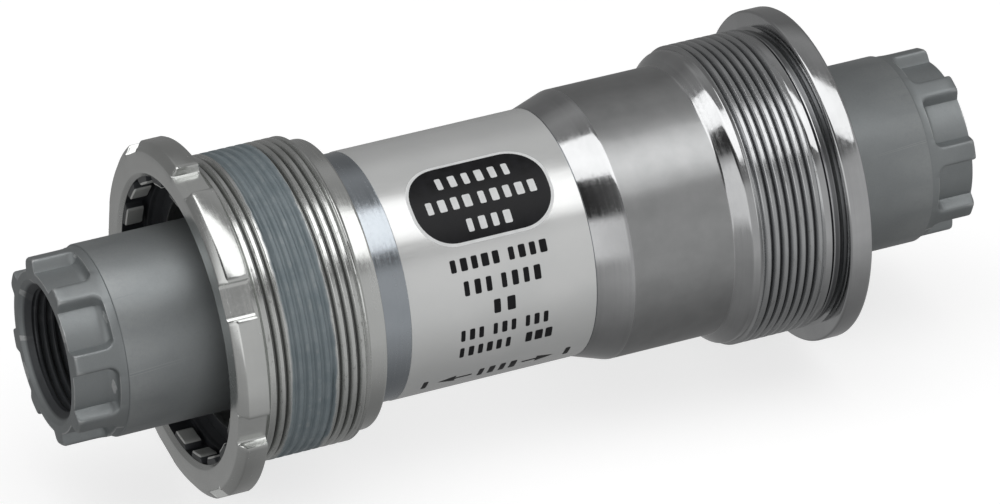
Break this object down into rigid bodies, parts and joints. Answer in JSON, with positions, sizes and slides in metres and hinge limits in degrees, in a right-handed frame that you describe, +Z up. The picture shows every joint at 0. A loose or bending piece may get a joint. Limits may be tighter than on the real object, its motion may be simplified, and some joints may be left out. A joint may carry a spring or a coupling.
{
  "type": "bottom bracket",
  "caption": "Cartridge bicycle bottom bracket: a hollow splined spindle on ball and needle bearings in a threaded cup and sleeve, with a removable notched left adapter.",
  "frame": {"origin": "on the spindle's axis, at the middle of its length; the middle of the 68 mm frame shell lies 0.4 mm toward the drive side", "axes": "+X along the spindle toward the drive (right) side, +Z up, -Y toward the viewer of the left-hand picture side"},
  "size_m": [0.1094, 0.0406, 0.0406],
  "materials": {
    "spindle_steel": "dark grey matt phosphate",
    "cup_steel": "satin plated, turned",
    "adapter_alloy": "satin, turned",
    "sleeve_steel": "blue-grey plated",
    "label_foil": "glossy printed foil",
    "bearing_steel": "ground and polished",
    "shell_steel": "drawn, satin",
    "needle_cage_steel": "pressed, oiled",
    "cage_plastic": "moulded",
    "spacer_plastic": "moulded",
    "seal_rubber": "moulded",
    "carrier_steel": "pressed, zinc plated",
    "spring_steel": "blackened"
  },
  "bodies": {
    "cartridge": {"drive_side_cup": "cup_steel", "cartridge_sleeve": "sleeve_steel", "sleeve_label": "label_foil", "left_bearing_outer_race": "bearing_steel", "right_bearing_outer_race": "bearing_steel", "left_needle_shell": "shell_steel", "right_needle_shell": "shell_steel", "inner_spacer_tube": "spacer_plastic", "left_seal": "seal_rubber", "left_seal_carrier": "carrier_steel", "right_seal": "seal_rubber", "right_seal_carrier": "carrier_steel", "left_retaining_ring": "spring_steel", "right_retaining_ring": "spring_steel"},
    "spindle_body": {"spindle": "spindle_steel"},
    "left_ball_set": {"left_bearing_balls": "bearing_steel", "left_bearing_cage": "cage_plastic"},
    "right_ball_set": {"right_bearing_balls": "bearing_steel", "right_bearing_cage": "cage_plastic"},
    "left_needle_set": {"left_needle_rollers": "bearing_steel", "left_needle_cage": "needle_cage_steel"},
    "right_needle_set": {"right_needle_rollers": "bearing_steel", "right_needle_cage": "needle_cage_steel"},
    "left_adapter": {"left_adapter_cup": "adapter_alloy"}
  },
  "joints": [
    {"name": "spindle_spin", "type": "hinge", "parent": "cartridge", "child": "spindle_body", "pos_m": [0, 0, 0], "axis": [1, 0, 0], "continuous": true},
    {"name": "left_ball_set_spin", "type": "hinge", "parent": "cartridge", "child": "left_ball_set", "pos_m": [-0.0253, 0, 0], "axis": [1, 0, 0], "continuous": true},
    {"name": "right_ball_set_spin", "type": "hinge", "parent": "cartridge", "child": "right_ball_set", "pos_m": [0.0242, 0, 0], "axis": [1, 0, 0], "continuous": true},
    {"name": "left_needle_set_spin", "type": "hinge", "parent": "cartridge", "child": "left_needle_set", "pos_m": [-0.016, 0, 0], "axis": [1, 0, 0], "continuous": true},
    {"name": "right_needle_set_spin", "type": "hinge", "parent": "cartridge", "child": "right_needle_set", "pos_m": [0.0127, 0, 0], "axis": [1, 0, 0], "continuous": true},
    {"name": "left_adapter_slide", "type": "slide", "parent": "cartridge", "child": "left_adapter", "axis": [-1, 0, 0], "range_m": [-0.0027, 0.06]}
  ],
  "couplings": [
    {"joint": "left_ball_set_spin", "follows": "spindle_spin", "ratio": 0.4569},
    {"joint": "right_ball_set_spin", "follows": "spindle_spin", "ratio": 0.4346},
    {"joint": "left_needle_set_spin", "follows": "spindle_spin", "ratio": 0.4619},
    {"joint": "right_needle_set_spin", "follows": "spindle_spin", "ratio": 0.4619}
  ]
}
